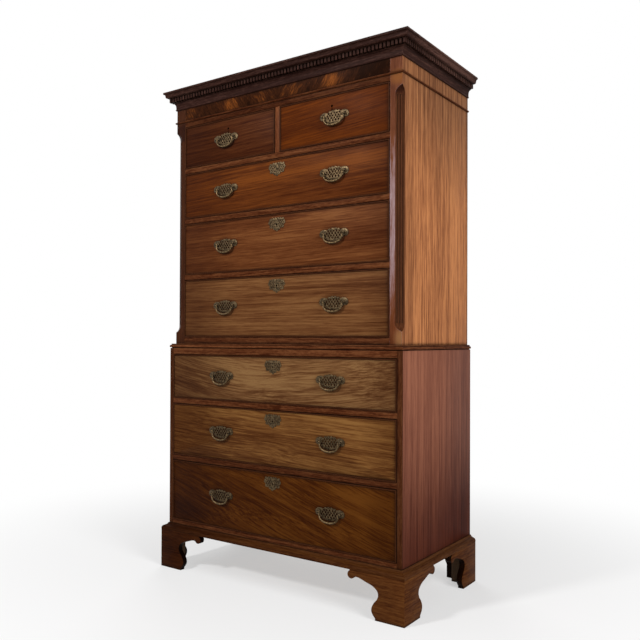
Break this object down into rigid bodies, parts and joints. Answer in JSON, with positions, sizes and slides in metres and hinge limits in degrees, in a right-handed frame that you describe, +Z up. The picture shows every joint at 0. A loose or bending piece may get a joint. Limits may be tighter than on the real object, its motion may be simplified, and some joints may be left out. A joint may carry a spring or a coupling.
{
  "type": "chest on chest",
  "caption": "Mahogany chest on chest with short and long drawers, brass bail handles, fluted canted corners, dentil cornice and bracket feet.",
  "frame": {"origin": "on the floor under the middle of the whole chest's width and depth", "axes": "+X to the right seen from the front, +Y to the back, +Z up; drawers open towards -Y"},
  "size_m": [1.102, 0.551, 1.88],
  "materials": {
    "upper_side_mahogany": "aged polished mahogany, upright grain, orange brown",
    "lower_side_mahogany": "aged polished mahogany, upright grain, red brown",
    "upper_front_mahogany": "polished mahogany, level grain",
    "lower_front_mahogany": "polished mahogany, level grain, golden brown",
    "rail_mahogany": "dark polished mahogany",
    "cornice_mahogany": "very dark polished mahogany",
    "foot_mahogany": "dark waxed mahogany",
    "inside_softwood": "dry unpolished softwood",
    "brass": "dull antique lacquered brass"
  },
  "bodies": {
    "carcase": {"foot_front_left": "foot_mahogany", "foot_front_right": "foot_mahogany", "foot_rear_left": "foot_mahogany", "foot_rear_right": "foot_mahogany", "base_moulding": "foot_mahogany", "lower_side_left": "lower_side_mahogany", "lower_side_right": "lower_side_mahogany", "lower_bottom": "rail_mahogany", "lower_back": "inside_softwood", "lower_divider_1": "rail_mahogany", "lower_divider_2": "rail_mahogany", "lower_top_with_waist_moulding": "rail_mahogany", "upper_side_left": "upper_side_mahogany", "upper_side_right": "upper_side_mahogany", "fluted_corner_left": "upper_front_mahogany", "fluted_corner_right": "upper_front_mahogany", "upper_bottom": "rail_mahogany", "upper_top": "inside_softwood", "upper_back": "inside_softwood", "upper_divider_1": "rail_mahogany", "upper_divider_2": "rail_mahogany", "upper_divider_3": "rail_mahogany", "frieze_and_astragal": "rail_mahogany", "cornice": "cornice_mahogany"},
    "body_bail_lower_3_left": {"bail_lower_3_left": "brass"},
    "body_bail_lower_3_right": {"bail_lower_3_right": "brass"},
    "body_drawer_lower_3": {"drawer_lower_3": "lower_front_mahogany", "handle_plate_lower_3_left": "brass", "handle_plate_lower_3_right": "brass"},
    "body_bail_lower_2_left": {"bail_lower_2_left": "brass"},
    "body_bail_lower_2_right": {"bail_lower_2_right": "brass"},
    "body_drawer_lower_2": {"drawer_lower_2": "lower_front_mahogany", "handle_plate_lower_2_left": "brass", "handle_plate_lower_2_right": "brass"},
    "body_bail_lower_1_left": {"bail_lower_1_left": "brass"},
    "body_bail_lower_1_right": {"bail_lower_1_right": "brass"},
    "body_drawer_lower_1": {"drawer_lower_1": "lower_front_mahogany", "handle_plate_lower_1_left": "brass", "handle_plate_lower_1_right": "brass"},
    "body_bail_upper_3_left": {"bail_upper_3_left": "brass"},
    "body_bail_upper_3_right": {"bail_upper_3_right": "brass"},
    "body_drawer_upper_3": {"drawer_upper_3": "upper_front_mahogany", "handle_plate_upper_3_left": "brass", "handle_plate_upper_3_right": "brass"},
    "body_bail_upper_2_left": {"bail_upper_2_left": "brass"},
    "body_bail_upper_2_right": {"bail_upper_2_right": "brass"},
    "body_drawer_upper_2": {"drawer_upper_2": "upper_front_mahogany", "handle_plate_upper_2_left": "brass", "handle_plate_upper_2_right": "brass"},
    "body_bail_upper_1_left": {"bail_upper_1_left": "brass"},
    "body_bail_upper_1_right": {"bail_upper_1_right": "brass"},
    "body_drawer_upper_1": {"drawer_upper_1": "upper_front_mahogany", "handle_plate_upper_1_left": "brass", "handle_plate_upper_1_right": "brass"},
    "body_bail_short_left": {"bail_short_left": "brass"},
    "body_drawer_short_left": {"drawer_short_left": "upper_front_mahogany", "handle_plate_short_left": "brass"},
    "body_bail_short_right": {"bail_short_right": "brass"},
    "body_drawer_short_right": {"drawer_short_right": "upper_front_mahogany", "handle_plate_short_right": "brass"}
  },
  "joints": [
    {"name": "slide_lower_3", "type": "slide", "parent": "carcase", "child": "body_drawer_lower_3", "axis": [0, -1, 0], "range_m": [0, 0.36]},
    {"name": "swing_bail_lower_3_left", "type": "hinge", "parent": "body_drawer_lower_3", "child": "body_bail_lower_3_left", "pos_m": [-0.248, -0.263, 0.313], "axis": [-1, 0, 0], "range_deg": [0, 110]},
    {"name": "swing_bail_lower_3_right", "type": "hinge", "parent": "body_drawer_lower_3", "child": "body_bail_lower_3_right", "pos_m": [0.248, -0.263, 0.313], "axis": [-1, 0, 0], "range_deg": [0, 110]},
    {"name": "slide_lower_2", "type": "slide", "parent": "carcase", "child": "body_drawer_lower_2", "axis": [0, -1, 0], "range_m": [0, 0.36]},
    {"name": "swing_bail_lower_2_left", "type": "hinge", "parent": "body_drawer_lower_2", "child": "body_bail_lower_2_left", "pos_m": [-0.248, -0.263, 0.552], "axis": [-1, 0, 0], "range_deg": [0, 110]},
    {"name": "swing_bail_lower_2_right", "type": "hinge", "parent": "body_drawer_lower_2", "child": "body_bail_lower_2_right", "pos_m": [0.248, -0.263, 0.552], "axis": [-1, 0, 0], "range_deg": [0, 110]},
    {"name": "slide_lower_1", "type": "slide", "parent": "carcase", "child": "body_drawer_lower_1", "axis": [0, -1, 0], "range_m": [0, 0.36]},
    {"name": "swing_bail_lower_1_left", "type": "hinge", "parent": "body_drawer_lower_1", "child": "body_bail_lower_1_left", "pos_m": [-0.248, -0.263, 0.76], "axis": [-1, 0, 0], "range_deg": [0, 110]},
    {"name": "swing_bail_lower_1_right", "type": "hinge", "parent": "body_drawer_lower_1", "child": "body_bail_lower_1_right", "pos_m": [0.248, -0.263, 0.76], "axis": [-1, 0, 0], "range_deg": [0, 110]},
    {"name": "slide_upper_3", "type": "slide", "parent": "carcase", "child": "body_drawer_upper_3", "axis": [0, -1, 0], "range_m": [0, 0.36]},
    {"name": "swing_bail_upper_3_left", "type": "hinge", "parent": "body_drawer_upper_3", "child": "body_bail_upper_3_left", "pos_m": [-0.248, -0.244, 1.0255], "axis": [-1, 0, 0], "range_deg": [0, 110]},
    {"name": "swing_bail_upper_3_right", "type": "hinge", "parent": "body_drawer_upper_3", "child": "body_bail_upper_3_right", "pos_m": [0.248, -0.244, 1.0255], "axis": [-1, 0, 0], "range_deg": [0, 110]},
    {"name": "slide_upper_2", "type": "slide", "parent": "carcase", "child": "body_drawer_upper_2", "axis": [0, -1, 0], "range_m": [0, 0.36]},
    {"name": "swing_bail_upper_2_left", "type": "hinge", "parent": "body_drawer_upper_2", "child": "body_bail_upper_2_left", "pos_m": [-0.248, -0.244, 1.259], "axis": [-1, 0, 0], "range_deg": [0, 110]},
    {"name": "swing_bail_upper_2_right", "type": "hinge", "parent": "body_drawer_upper_2", "child": "body_bail_upper_2_right", "pos_m": [0.248, -0.244, 1.259], "axis": [-1, 0, 0], "range_deg": [0, 110]},
    {"name": "slide_upper_1", "type": "slide", "parent": "carcase", "child": "body_drawer_upper_1", "axis": [0, -1, 0], "range_m": [0, 0.36]},
    {"name": "swing_bail_upper_1_left", "type": "hinge", "parent": "body_drawer_upper_1", "child": "body_bail_upper_1_left", "pos_m": [-0.248, -0.244, 1.469], "axis": [-1, 0, 0], "range_deg": [0, 110]},
    {"name": "swing_bail_upper_1_right", "type": "hinge", "parent": "body_drawer_upper_1", "child": "body_bail_upper_1_right", "pos_m": [0.248, -0.244, 1.469], "axis": [-1, 0, 0], "range_deg": [0, 110]},
    {"name": "slide_short_left", "type": "slide", "parent": "carcase", "child": "body_drawer_short_left", "axis": [0, -1, 0], "range_m": [0, 0.36]},
    {"name": "swing_bail_short_left", "type": "hinge", "parent": "body_drawer_short_left", "child": "body_bail_short_left", "pos_m": [-0.248, -0.244, 1.6615], "axis": [-1, 0, 0], "range_deg": [0, 110]},
    {"name": "slide_short_right", "type": "slide", "parent": "carcase", "child": "body_drawer_short_right", "axis": [0, -1, 0], "range_m": [0, 0.36]},
    {"name": "swing_bail_short_right", "type": "hinge", "parent": "body_drawer_short_right", "child": "body_bail_short_right", "pos_m": [0.248, -0.244, 1.6615], "axis": [-1, 0, 0], "range_deg": [0, 110]}
  ]
}
